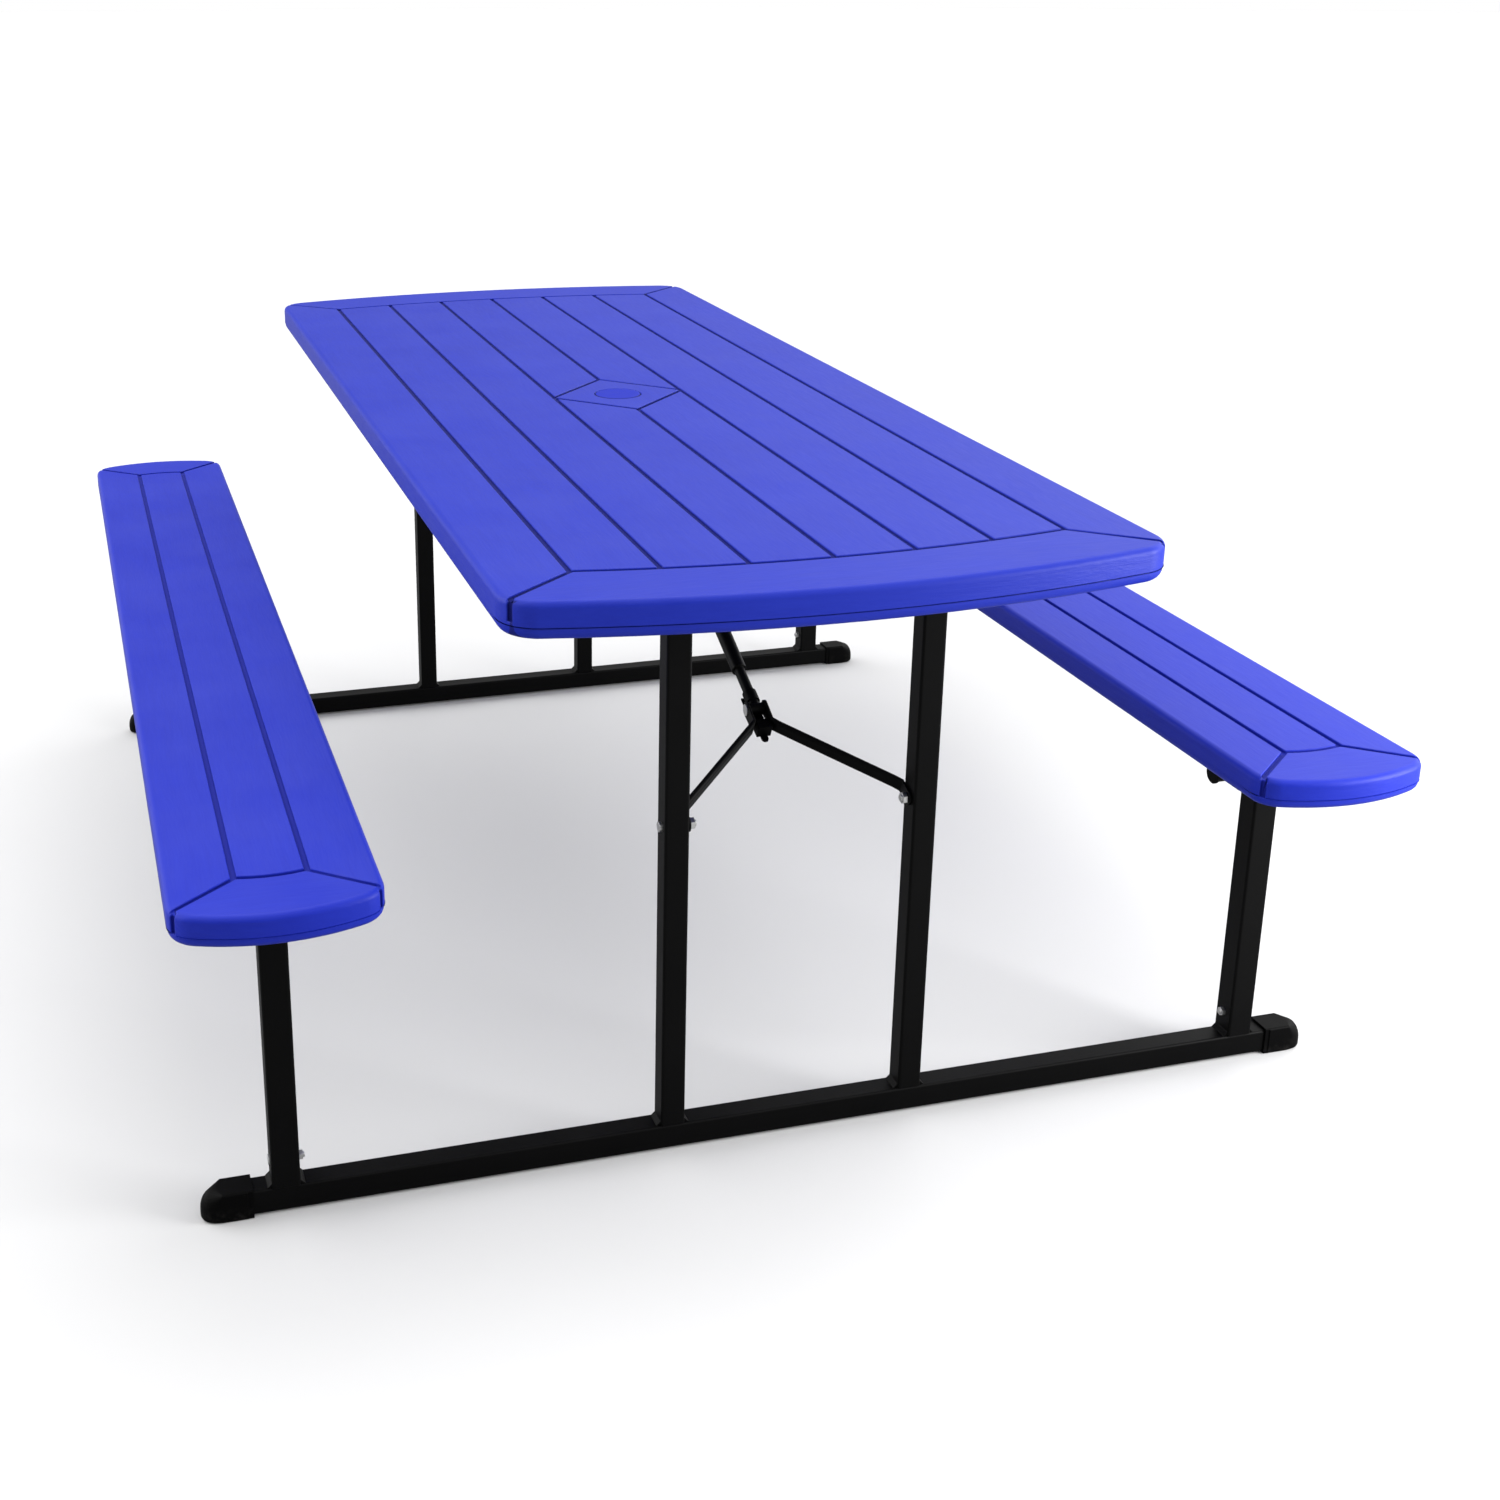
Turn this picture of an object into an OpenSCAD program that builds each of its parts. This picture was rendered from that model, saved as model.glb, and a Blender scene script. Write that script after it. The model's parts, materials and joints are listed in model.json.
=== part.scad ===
// Folding picnic table with two bench seats. A moulded top and two moulded
// seats, all with a plank pattern, stand on two end frames of square steel
// tube. Each frame hangs on a round tube under the top and is held by a knee
// brace. The frames swing in under the top, and slide blocks let the seats
// rise until they lie level with it.
// Millimetres. Origin on the ground in the middle, X across, Y along, Z up.

/* [Table top] */
// Height of the top face above the ground
table_height = 737; // [710:1:770]
// Length of the top on its middle line
table_length = 1829; // [1760:1:1900]
// Width of the top
table_width = 743; // [710:1:790]
// Thickness of the top
table_thickness = 42; // [38:1:48]
// Radius of the bowed ends of the top
table_bow = 1523; // [1100:1:2200]
// Corner radius of the top in plan
table_corner = 46; // [36:1:52]
// Rounding under the edge of the top
table_foot_round = 12; // [8:0.5:14]
// Number of planks across the top
table_planks = 8; // [6:2:8]
// How much narrower the two outer planks of the top are than the others
table_plank_trim = 4.5; // [0:0.5:12]
// Width of the end bands of the top
table_band = 99.5; // [80:0.5:120]

/* [Seats] */
// Height of the seat faces above the ground
seat_height = 453; // [440:1:466]
// How much shorter a seat is than the top
seat_shortfall = 3; // [0:1:30]
// Width of a seat
seat_width = 218; // [200:1:235]
// Distance between the middle lines of the two seats
seat_spacing = 1214; // [1190:1:1240]
// Thickness of a seat
seat_thickness = 36; // [32:1:42]
// Radius of the bowed ends of a seat
seat_bow = 230; // [190:1:320]
// Corner radius of a seat in plan
seat_corner = 36; // [28:1:40]
// Rounding under the edge of a seat
seat_foot_round = 10; // [7:0.5:12]
// Number of planks across a seat
seat_planks = 3; // [3:2:3]
// How much narrower the two outer planks of a seat are than the middle one
seat_plank_trim = 3.5; // [0:0.5:8]
// Width of the end bands of a seat
seat_band = 87; // [70:1:110]

/* [Moulding] */
// Rounding along the upper edges of top and seats
edge_round = 7.5; // [5:0.5:9]
// Small ledge above the lower rounding of the edges
edge_step = 0.8; // [0.5:0.1:2]
// Straight wall between the lower rounding and the ledge
ledge_rise = 2; // [1.5:0.1:3]
// Wall thickness of the hollow mouldings
skin = 2.6; // [2:0.1:3.4]
// Width of the plank grooves
groove_width = 6.4; // [4.5:0.1:7]
// Depth of the plank grooves
groove_depth = 4; // [2.5:0.1:4.5]
// How far the joint grooves run down the corners
corner_groove = 24; // [18:0.5:25]
// Half height of the diamond inlay along the table
diamond_reach = 98.6; // [80:0.2:120]
// Length of the stiffening pockets under top and seats
pocket_length = 60; // [40:1:80]
// Width of the stiffening pockets
pocket_width = 14; // [10:1:20]

/* [Umbrella hole] */
// Radius of the hole through the top
hole_radius = 20; // [17:0.5:24]
// Radius of the cap over the hole
cap_radius = 33; // [30:0.5:40]
// Thickness of the cap disc
cap_disc = 4; // [3:0.1:6]
// Depth of the skirt under the cap
cap_skirt = 13; // [8:0.5:16]
// Wall of the skirt
cap_wall = 2.4; // [1.6:0.1:3.5]
// Width of the ledge under the skirt
cap_ledge = 3; // [2.5:0.1:4]
// Gap round the cap disc
cap_gap = 0.6; // [0.3:0.1:1]

/* [Frames] */
// Distance of a frame from the end of the top, to its middle plane
frame_inset = 175.5; // [160:0.5:190]
// Distance between the two table legs of a frame
table_leg_spacing = 300; // [270:1:330]
// How far the bench legs stand inside the middle lines of the seats
bench_leg_inset = 4.5; // [0:0.5:10]
// Outer size of the square tube of the table legs
leg_size = 29; // [26:0.5:30]
// Outer size of the square tube of the bench legs
bench_leg_size = 32; // [29:0.5:34]
// Wall of the leg tube
leg_wall = 1.5; // [1.2:0.1:2.2]
// Corner radius of the leg tube
leg_corner = 3; // [2.4:0.1:4]
// Outer size of the square base tube
rail_size = 30; // [29:0.5:32]
// Wall of the base tube
rail_wall = 1.8; // [1.4:0.1:2.4]
// How far the base tube reaches past the middle planes of the bench legs
rail_overhang = 64.5; // [56:0.5:80]
// Leg of the weld bead at the foot of each leg
weld_leg = 5.5; // [3:0.5:7]
// Height of the stub that a bench leg is bolted to
stub_height = 42; // [34:1:60]

/* [Foot caps] */
// Length of a foot cap
foot_length = 58; // [50:1:70]
// Wall of the foot cap round the base tube
foot_wall = 3; // [2.4:0.1:4]
// How far the base tube reaches into a foot cap
foot_socket = 27; // [20:1:30]
// Length of the sloping nose of a foot cap
foot_slope = 24; // [20:1:26]
// Height of the tip of that nose
foot_tip = 12; // [9:0.5:16]
// Rounding under the nose
foot_sole = 5; // [3:0.5:8]
// Length of the stepped collar at the inner end of a foot cap
foot_collar = 6; // [4:0.5:8]
// Depth of the step of that collar
foot_collar_step = 1; // [0.6:0.1:1.4]

/* [Table hinges] */
// Drop from the underside of the top to the hinge axis
hinge_drop = 17; // [16.5:0.1:19]
// Radius of the hinge tube
hinge_radius = 11; // [10:0.1:12]
// Wall of the round tubes
round_wall = 2; // [1.4:0.1:2.6]
// Height of the leg tops above the hinge axis
leg_cope_rise = 6; // [3:0.5:7]
// Gap between a table leg and its hinge bracket
bracket_gap = 4; // [2:0.5:6]
// Width of a hinge bracket along the tube
bracket_width = 24; // [18:1:30]
// Length of the base plate of a hinge bracket
bracket_length = 64; // [56:1:76]
// Thickness of the plates screwed under the top
plate_gauge = 3; // [2.4:0.1:3.6]
// Wall of a hinge bracket round the tube
bracket_wall = 4; // [3:0.1:5]

/* [Seat guides] */
// Drop from the underside of a seat to the cross tube axis
cross_drop = 22; // [21.5:0.1:24]
// Radius of the cross tubes on the bench legs
cross_radius = 11; // [10:0.1:11.5]
// Length of a cross tube
cross_length = 132; // [126:1:140]
// Height of the bench leg tops above the cross tube axis
bench_cope_rise = 11; // [8:0.5:11.5]
// Thickness of the steel guide channel
guide_gauge = 2.5; // [2:0.1:3]
// Half width of the inside of the guide channel
guide_half = 36; // [33:0.5:44]
// Depth of the guide channel below the seat
guide_depth = 41; // [40:0.5:46]
// Length of the guide channel past the end of its slot
guide_land = 14; // [9:0.5:20]
// Length of a slide block
block_length = 34; // [30:1:40]
// Height of a slide block where it passes through the slot
block_height = 28; // [27:0.1:29]
// Width of the two collars of a slide block
block_collar = 5; // [3.5:0.1:6]
// How far the collars stand over the slot
block_lip = 3; // [2:0.1:3.2]
// Free slot past the furthest place that a slide block reaches
slot_spare = 4; // [2:0.5:12]
// Radius of the plugs in the round tubes over the tube radius
plug_lip = 1.5; // [0.8:0.1:2]
// Thickness of the head of those plugs
plug_head = 3; // [2:0.5:4]
// How far those plugs reach into a tube
plug_depth = 10; // [6:1:16]

/* [Knee braces] */
// Height of the lower brace pivot above the ground
brace_pivot_height = 412; // [400:1:424]
// Distance between the upper pivots of the two braces
anchor_spacing = 312; // [270:1:360]
// Radius of the main brace tube
brace_radius = 9.2; // [8:0.1:9.4]
// Wall of the main brace tube
brace_wall = 1.4; // [1:0.1:1.8]
// Radius of the reduced end of the brace tube
brace_neck_radius = 6.6; // [5.8:0.1:6.7]
// Length of the reduced end, from the knee pin
brace_neck = 67; // [62:1:80]
// Half width of the eye at the knee
eye_half = 9.4; // [9.2:0.1:9.8]
// Radius of the eye at the knee
eye_radius = 7.4; // [6.9:0.1:7.5]
// Tube past the upper brace pivot
brace_tail = 9; // [7:0.5:10]
// Radius of the brace pins
pin_radius = 4; // [3:0.1:4.5]
// Radius of the heads of the brace pins
pin_head_radius = 7; // [6:0.1:8]
// Height of those heads
pin_head = 1.4; // [1:0.1:2.5]
// Thickness of the flat oval tube of a brace arm
arm_width = 7.5; // [6:0.1:9]
// Height of that oval tube
arm_height = 17; // [14:0.5:18]
// Thickness of the flattened ends of a brace arm
arm_gauge = 2.4; // [2:0.1:4]
// Half height of the flattened end at the leg
arm_foot_radius = 9.5; // [8:0.1:11]
// Half height of the flattened end at the knee
arm_cheek_radius = 10; // [9:0.1:12]
// Length of the flattened end at the leg, past its bolt
arm_flat = 20; // [16:1:26]
// Length of the flattened end at the knee, past its pin
knee_flat = 26; // [20:1:32]
// Free space between a brace arm and its leg
arm_spacer = 1; // [0.6:0.1:1.6]

/* [Knee locks] */
// Distance from the knee pin to the lock sleeve
lock_start = 11; // [10:0.5:13]
// Length of the lock sleeve
lock_length = 16; // [12:1:24]
// Wall of the lock sleeve
lock_wall = 2; // [1.4:0.1:2.6]
// Half width of the lock under the knee
lock_half = 8.8; // [7:0.1:9]
// Drop of the plate of the lock below the brace axis
plate_drop = 8; // [7.9:0.1:8.6]
// Thickness of that plate
lock_plate = 2.4; // [1.8:0.1:3]
// Distance from the knee pin to the grip between the arms
grip_start = 21.5; // [21:0.5:23]
// Length of the grip
grip_length = 14; // [10:0.5:16]
// Height of the grip above the brace axis
grip_rise = 5; // [2:0.5:8]
// Width of the finger tab past the grip
tab_width = 8.5; // [7:0.5:12]
// How far the finger tab reaches past the knee pin
tab_reach = 45; // [40:1:52]

/* [Bolts] */
// Radius of the bolts through the bench legs
bolt_radius = 3; // [2.5:0.1:4]
// Height of those bolts above the base tube
bolt_rise = 29; // [22:0.5:31]
// Radius of the bolt heads
bolt_head_radius = 6; // [5.5:0.1:7]
// Height of the heads of the bolts through the braces
bolt_head = 3.4; // [2.5:0.1:5]
// Height of the heads of the bolts through the bench legs
bench_bolt_head = 1.8; // [1.2:0.1:3.5]
// Radius of the nuts of the braces over their corners
nut_radius = 7.2; // [6.6:0.1:7.8]
// Radius of the nuts of the bench legs over their corners
bench_nut_radius = 5.8; // [5:0.1:7]
// Height of the nuts
nut_height = 5; // [4:0.1:6]
// Length of the bolt ends past their nuts
bolt_tail = 2; // [1:0.1:4]

/* [Clearances] */
// Radial running clearance of turning fits
run_clear = 0.08; // [0.03:0.01:0.1]
// Gap between fixed pieces that touch
seat_clear = 0.1; // [0.05:0.01:0.2]
// Play of the slide blocks in their slots
slide_clear = 0.4; // [0.3:0.05:0.6]
// Free space at the open knee pivot
knee_clear = 0.7; // [0.6:0.1:1.4]

/* [Hidden] */
$fn = 48;
small_fn = 24;
hull_fn = 32;
arc_fn = 180;
over = 10;
cavity_steps = 3;
corner_steps = 2;
// Where on the turn of a corner its joint groove runs out
corner_share = 0.46;

under_z = table_height - table_thickness;
hinge_z = under_z - hinge_drop;
seat_under_z = seat_height - seat_thickness;
cross_z = seat_under_z - cross_drop;
frame_spacing = table_length - 2 * frame_inset;
frame_y = frame_spacing / 2;
table_leg_x = table_leg_spacing / 2;
bench_leg_x = seat_spacing / 2 - bench_leg_inset;
rail_length = 2 * (bench_leg_x + rail_overhang);
table_plank = (table_width + 2 * table_plank_trim) / table_planks;
seat_plank = (seat_width + 2 * seat_plank_trim) / seat_planks;
rail_z = foot_wall + rail_size / 2;
rail_top_z = foot_wall + rail_size;

// Plans of the mouldings: half width, half length, bow, corner, height, foot.
table_plan = [table_width / 2, table_length / 2, table_bow, table_corner, table_thickness, table_foot_round];
seat_plan = [seat_width / 2, (table_length - seat_shortfall) / 2, seat_bow, seat_corner, seat_thickness, seat_foot_round];

// A seat rides evenly on its front blocks while the frames swing, so in the rear
// slots it is furthest along where the cosine of the fold is one over pi.
slide_travel = hinge_z - cross_z;
furthest_turn = acos(1 / PI);
slot_travel = slide_travel * (2 * sin(furthest_turn) - furthest_turn / 90) + slot_spare;

// The brace folds flat when the short link is half of the stretched length
// less the distance of its two pivots in the folded state.
brace_rise = hinge_z - brace_pivot_height;
brace_run = frame_y - anchor_spacing / 2;
brace_span = norm([brace_run, brace_rise]);
brace_lower = (brace_span - brace_run + brace_rise) / 2;
brace_upper = brace_span - brace_lower;
brace_angle = atan2(brace_rise, brace_run);
cheek_x = eye_half + knee_clear;
arm_x = table_leg_x - leg_size / 2 - arm_spacer;
bracket_x = table_leg_x + leg_size / 2 + bracket_gap;
hinge_tube_half = bracket_x + bracket_width + bracket_gap;

// Plans are drawn for the front right quarter and mirrored from there.
module place(left, rear) {
    mirror([left ? 1 : 0, 0, 0]) mirror([0, rear ? 1 : 0, 0]) children();
}

module across(x) {
    translate([x, 0, 0]) rotate([0, 90, 0]) children();
}

// Mouldings with a plank pattern

function half_w(plan) = plan[0];
function half_l(plan) = plan[1];
function bow(plan) = plan[2];
function corner(plan) = plan[3];
function height(plan) = plan[4];
function foot(plan) = plan[5];
function bow_y(plan) = half_l(plan) - bow(plan);
function core_x(plan) = half_w(plan) - corner(plan);
function core_r(plan) = bow(plan) - corner(plan);
function corner_y(plan) = bow_y(plan) + sqrt(pow(core_r(plan), 2) - pow(core_x(plan), 2));
function corner_turn(plan) = acos(core_x(plan) / core_r(plan));

// Edge of the upper part, with the rounding along the top.
module crown_profile(outer, plan) {
    base = foot(plan) + ledge_rise;
    translate([outer - edge_round, base]) square([edge_round, height(plan) - edge_round - base]);
    translate([outer - edge_round, height(plan) - edge_round]) circle(r = edge_round, $fn = small_fn);
}

// Edge of the lower part, set back by the ledge.
module foot_profile(outer, plan) {
    rounding = foot(plan);
    translate([outer - edge_step - rounding, rounding]) {
        circle(r = rounding, $fn = small_fn);
        square([rounding, 2 * ledge_rise]);
    }
}

// Turns an edge profile round the corner and the bowed end of one quarter.
module quarter_edge(plan, upper) {
    turn = corner_turn(plan);
    translate([core_x(plan), corner_y(plan), 0]) rotate_extrude(angle = turn)
        edge_profile(corner(plan), plan, upper);
    translate([0, bow_y(plan), 0]) rotate([0, 0, turn]) rotate_extrude(angle = 90 - turn, $fn = arc_fn)
        edge_profile(bow(plan), plan, upper);
}

module edge_profile(outer, plan, upper) {
    if (upper) crown_profile(outer, plan); else foot_profile(outer, plan);
}

// Plan of the cavity: its bowed ends and corners are drawn as short straight walls.
module cavity_plan(plan, inset) {
    turn = corner_turn(plan);
    start = cavity_corner(plan, inset, turn);
    quarter = concat(
        [for (i = [0 : corner_steps]) cavity_corner(plan, inset, turn * i / corner_steps)],
        [for (i = [cavity_steps - 1 : -1 : 0]) cavity_point(plan, inset, start[0] * i / cavity_steps)]
    );
    half = concat(quarter, [for (i = [len(quarter) - 2 : -1 : 0]) [-quarter[i][0], quarter[i][1]]]);
    polygon(concat(half, -half));
}

function cavity_corner(plan, inset, turn) = [
    core_x(plan) + (corner(plan) - inset) * cos(turn),
    corner_y(plan) + (corner(plan) - inset) * sin(turn)
];
function cavity_point(plan, inset, x) = [x, bow_y(plan) + sqrt(pow(bow(plan) - inset, 2) - pow(x, 2))];

module slab_blank(plan) {
    for (upper = [true, false]) {
        hull() for (left = [0, 1], rear = [0, 1]) {
            mirror([left, 0, 0]) mirror([0, rear, 0]) quarter_edge(plan, upper);
        }
    }
}

// Plan of a straight groove.
module groove_run(start, finish) {
    run = finish - start;
    translate(start) rotate(atan2(run[1], run[0])) translate([0, -groove_width / 2])
        square([norm(run), groove_width]);
}

function band_y(plan, band, x) = bow_y(plan) + sqrt(pow(bow(plan) - band, 2) - pow(x, 2));

// Plan of the groove between the planks and the band across one end.
module band_groove(plan, band, x) {
    band_r = bow(plan) - band;
    end_y = band_y(plan, band, x) - bow_y(plan);
    translate([0, bow_y(plan)]) intersection() {
        difference() {
            circle(r = band_r + groove_width / 2, $fn = arc_fn);
            circle(r = band_r - groove_width / 2, $fn = arc_fn);
        }
        polygon([[0, 0], 2 * [x + groove_width / 2, end_y], 2 * [-x - groove_width / 2, end_y]]);
    }
}

function corner_tip(plan, reach) = [
    core_x(plan) + reach * cos(corner_turn(plan) * corner_share),
    corner_y(plan) + reach * sin(corner_turn(plan) * corner_share)
];

module plank_grooves(plan, planks, plank, band, break_reach) {
    outer = (planks / 2 - 1) * plank;
    for (i = [0 : planks - 2]) {
        x = (i - (planks - 2) / 2) * plank;
        y = band_y(plan, band, x);
        if (x == 0 && break_reach > 0) {
            groove_run([x, break_reach], [x, y]);
            groove_run([x, -y], [x, -break_reach]);
        } else {
            groove_run([x, -y], [x, y]);
        }
    }
    for (rear = [0, 1]) {
        mirror([0, rear]) band_groove(plan, band, outer);
        for (left = [0, 1]) {
            mirror([left, 0]) mirror([0, rear])
                groove_run([outer - groove_width / 4, band_y(plan, band, outer)], corner_tip(plan, corner(plan) + over));
        }
    }
}

// Short runs of the end joints down the four corners.
module corner_grooves(plan) {
    for (left = [0, 1], rear = [0, 1]) {
        mirror([left, 0]) mirror([0, rear])
            groove_run(corner_tip(plan, corner(plan) - groove_depth), corner_tip(plan, corner(plan) + over));
    }
}

// The pockets of the underside reach up to the upper wall and tie both walls.
module pockets(plan, planks, plank, rows, row_pitch, grow) {
    depth = height(plan) - groove_depth - 2 * skin + grow;
    for (i = [0 : planks - 1], j = [0 : rows - 1]) {
        translate([(i - (planks - 1) / 2) * plank, (j - (rows - 1) / 2) * row_pitch, depth / 2 - over / 2])
            cube([pocket_width + 2 * grow, pocket_length + 2 * grow, depth + over], center = true);
    }
}

module hollow(plan, planks, plank, rows, row_pitch, boss_radius) {
    rim = edge_step + foot(plan) + skin / 2;
    difference() {
        translate([0, 0, skin]) linear_extrude(height(plan) - groove_depth - 2 * skin) cavity_plan(plan, rim);
        pockets(plan, planks, plank, rows, row_pitch, skin);
        if (boss_radius > 0) {
            translate([0, 0, -over]) cylinder(r = boss_radius, h = height(plan) + 2 * over);
        }
    }
}

module moulding(plan, planks, plank, band, rows, row_pitch, break_reach, boss_radius) {
    difference() {
        slab_blank(plan);
        translate([0, 0, height(plan) - groove_depth]) linear_extrude(groove_depth + over) {
            plank_grooves(plan, planks, plank, band, break_reach);
            children();
        }
        translate([0, 0, height(plan) - corner_groove]) linear_extrude(corner_groove + over)
            corner_grooves(plan);
        hollow(plan, planks, plank, rows, row_pitch, boss_radius);
        pockets(plan, planks, plank, rows, row_pitch, 0);
    }
}

// The planks in the middle are mitred round the umbrella hole.
module diamond_grooves() {
    for (x = [-1, 1], y = [-1, 1]) {
        groove_run([x * (table_plank + groove_width / 4), 0], [0, y * (diamond_reach + groove_width / 4)]);
    }
}

module tabletop() {
    rows = 6;
    color("mediumblue") translate([0, 0, under_z]) difference() {
        moulding(table_plan, table_planks, table_plank, table_band, rows,
            frame_spacing / rows, diamond_reach, cap_radius + cap_gap + skin)
            diamond_grooves();
        translate([0, 0, -over]) cylinder(r = hole_radius, h = table_thickness + 2 * over);
        translate([0, 0, table_thickness - cap_disc - cap_skirt - cap_gap])
            cylinder(r = hole_radius + cap_ledge, h = table_thickness);
        translate([0, 0, table_thickness - cap_disc])
            cylinder(r = cap_radius + cap_gap, h = cap_disc + over);
    }
}

module umbrella_cap() {
    skirt_radius = hole_radius + cap_ledge - seat_clear;
    color("midnightblue") translate([0, 0, table_height - cap_disc]) {
        cylinder(r = cap_radius, h = cap_disc);
        translate([0, 0, -cap_skirt]) difference() {
            cylinder(r = skirt_radius, h = cap_skirt + cap_disc / 2);
            translate([0, 0, -over]) cylinder(r = skirt_radius - cap_wall, h = cap_skirt + over);
        }
    }
}

module bench() {
    rows = 6;
    color("mediumblue") translate([seat_spacing / 2, 0, seat_under_z])
        moulding(seat_plan, seat_planks, seat_plank, seat_band, rows, frame_spacing / rows, 0, 0);
}

// Tubes of the end frames

module section(size, radius) {
    flat = size - 2 * radius;
    square([size, flat], center = true);
    square([flat, size], center = true);
    for (x = [-1, 1], y = [-1, 1]) {
        translate([x * flat / 2, y * flat / 2]) circle(r = radius, $fn = small_fn);
    }
}

module square_tube(size, radius, wall, length) {
    linear_extrude(length) difference() {
        section(size, radius);
        section(size - 2 * wall, radius - wall / 2);
    }
}

module round_tube(radius, wall, length) {
    difference() {
        cylinder(r = radius, h = length, center = true);
        cylinder(r = radius - wall, h = length + over, center = true);
    }
}

module weld_beads(size) {
    for (left = [0, 1]) {
        mirror([left, 0, 0]) translate([size / 2, size / 2 - leg_corner, rail_top_z])
            rotate([90, 0, 0]) linear_extrude(size - 2 * leg_corner)
            polygon([[-leg_wall / 2, 0], [weld_leg, 0], [0, weld_leg], [-leg_wall / 2, weld_leg]]);
    }
}

module leg_tube(size, top_z) {
    translate([0, 0, rail_top_z]) square_tube(size, leg_corner, leg_wall, top_z - rail_top_z);
    weld_beads(size);
}

module cross_hole(z, radius) {
    translate([0, 0, z]) rotate([0, 90, 0]) cylinder(r = radius, h = bench_leg_size + 2 * over, center = true);
}

module table_leg() {
    color("#16171b") translate([table_leg_x, -frame_y, 0]) difference() {
        leg_tube(leg_size, hinge_z + leg_cope_rise);
        cross_hole(hinge_z, hinge_radius + seat_clear);
        cross_hole(brace_pivot_height, pin_radius + seat_clear);
    }
}

module bench_leg() {
    color("#16171b") translate([bench_leg_x, -frame_y, 0]) difference() {
        leg_tube(bench_leg_size, cross_z + bench_cope_rise);
        cross_hole(cross_z, cross_radius + seat_clear);
        cross_hole(rail_top_z + bolt_rise, bolt_radius + seat_clear);
    }
}

module base_rail() {
    stub = bench_leg_size - 2 * leg_wall - 2 * seat_clear;
    color("#16171b") translate([0, -frame_y, 0]) {
        translate([0, 0, rail_z]) rotate([0, 90, 0]) translate([0, 0, -rail_length / 2])
            square_tube(rail_size, leg_corner, rail_wall, rail_length);
        for (x = [-bench_leg_x, bench_leg_x]) {
            translate([x, 0, 0]) difference() {
                translate([0, 0, rail_top_z - rail_wall / 2])
                    square_tube(stub, leg_corner, rail_wall, stub_height + rail_wall / 2);
                cross_hole(rail_top_z + bolt_rise, bolt_radius + seat_clear);
            }
        }
    }
}

// Half section of the round nose.
module nose_profile(size) {
    reach = size / 2;
    translate([0, foot_tip]) intersection() {
        scale([reach, size - foot_tip]) circle(r = 1);
        square([reach, size - foot_tip]);
    }
    translate([0, foot_sole]) square([reach, foot_tip - foot_sole]);
    square([reach - foot_sole, foot_tip]);
    translate([reach - foot_sole, foot_sole]) circle(r = foot_sole);
}

module foot_block(size, length) {
    translate([0, 0, size / 2]) rotate([90, 0, 90]) linear_extrude(length) section(size, leg_corner);
}

module foot_cap() {
    size = rail_size + 2 * foot_wall;
    socket = rail_size + 2 * seat_clear;
    shoulder = foot_length - foot_slope;
    color("#202226") translate([rail_length / 2 - foot_socket, -frame_y, 0]) difference() {
        union() {
            foot_block(size, shoulder);
            hull() {
                translate([shoulder - foot_wall, 0, 0]) foot_block(size, foot_wall);
                translate([foot_length - size / 2, 0, 0]) rotate_extrude($fn = hull_fn) nose_profile(size);
            }
        }
        translate([-over, 0, rail_z]) rotate([0, 90, 0])
            linear_extrude(foot_socket + seat_clear + over) section(socket, leg_corner);
        translate([-over, 0, rail_z]) rotate([0, 90, 0]) linear_extrude(foot_collar + over) difference() {
            square(size + 2 * over, center = true);
            translate([-foot_collar_step / 2, 0])
                square([size - foot_collar_step, size - 2 * foot_collar_step], center = true);
        }
    }
}

module hinge_tube() {
    color("#16171b") translate([0, -frame_y, hinge_z]) rotate([0, 90, 0])
        round_tube(hinge_radius, round_wall, 2 * hinge_tube_half);
}

module cross_tube() {
    color("#16171b") translate([bench_leg_x, -frame_y, cross_z]) rotate([0, 90, 0])
        round_tube(cross_radius, round_wall, cross_length);
}

// One plug, its head starting at the end of the tube and pointing along +X.
module plug(radius) {
    rotate([0, 90, 0]) {
        cylinder(r = radius + plug_lip, h = plug_head);
        translate([0, 0, -plug_depth])
            cylinder(r = radius - round_wall - seat_clear, h = plug_depth + plug_head / 2);
    }
}

module tube_plugs() {
    color("#202226") for (left = [0, 1]) {
        mirror([left, 0, 0]) {
            translate([hinge_tube_half, -frame_y, hinge_z]) plug(hinge_radius);
            translate([bench_leg_x, -frame_y, cross_z]) {
                translate([cross_length / 2, 0, 0]) plug(cross_radius);
                mirror([1, 0, 0]) translate([cross_length / 2, 0, 0]) plug(cross_radius);
            }
        }
    }
}

module nut(bore, radius) {
    difference() {
        cylinder(r = radius, h = nut_height, $fn = 6);
        translate([0, 0, -over]) cylinder(r = bore + seat_clear, h = nut_height + 2 * over);
    }
}

// A bolt along +X with its head inside zero and its nut on the far side.
module bolt(radius, grip, head, corner_radius) {
    rotate([0, 90, 0]) {
        translate([0, 0, -head]) cylinder(r = bolt_head_radius, h = head);
        translate([0, 0, -head / 2]) cylinder(r = radius, h = head / 2 + grip + nut_height + bolt_tail);
    }
    across(grip) nut(radius, corner_radius);
}

module frame_bolts() {
    brace_grip = leg_size + 2 * arm_spacer + arm_gauge;
    color("silver") for (left = [0, 1]) {
        mirror([left, 0, 0]) {
            translate([bench_leg_x + bench_leg_size / 2, -frame_y, rail_top_z + bolt_rise])
                mirror([1, 0, 0]) bolt(bolt_radius, bench_leg_size, bench_bolt_head, bench_nut_radius);
            translate([table_leg_x + leg_size / 2, -frame_y, brace_pivot_height])
                mirror([1, 0, 0]) bolt(pin_radius, brace_grip, bolt_head, nut_radius);
        }
    }
}

// Pieces screwed to the underside of the top

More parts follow.
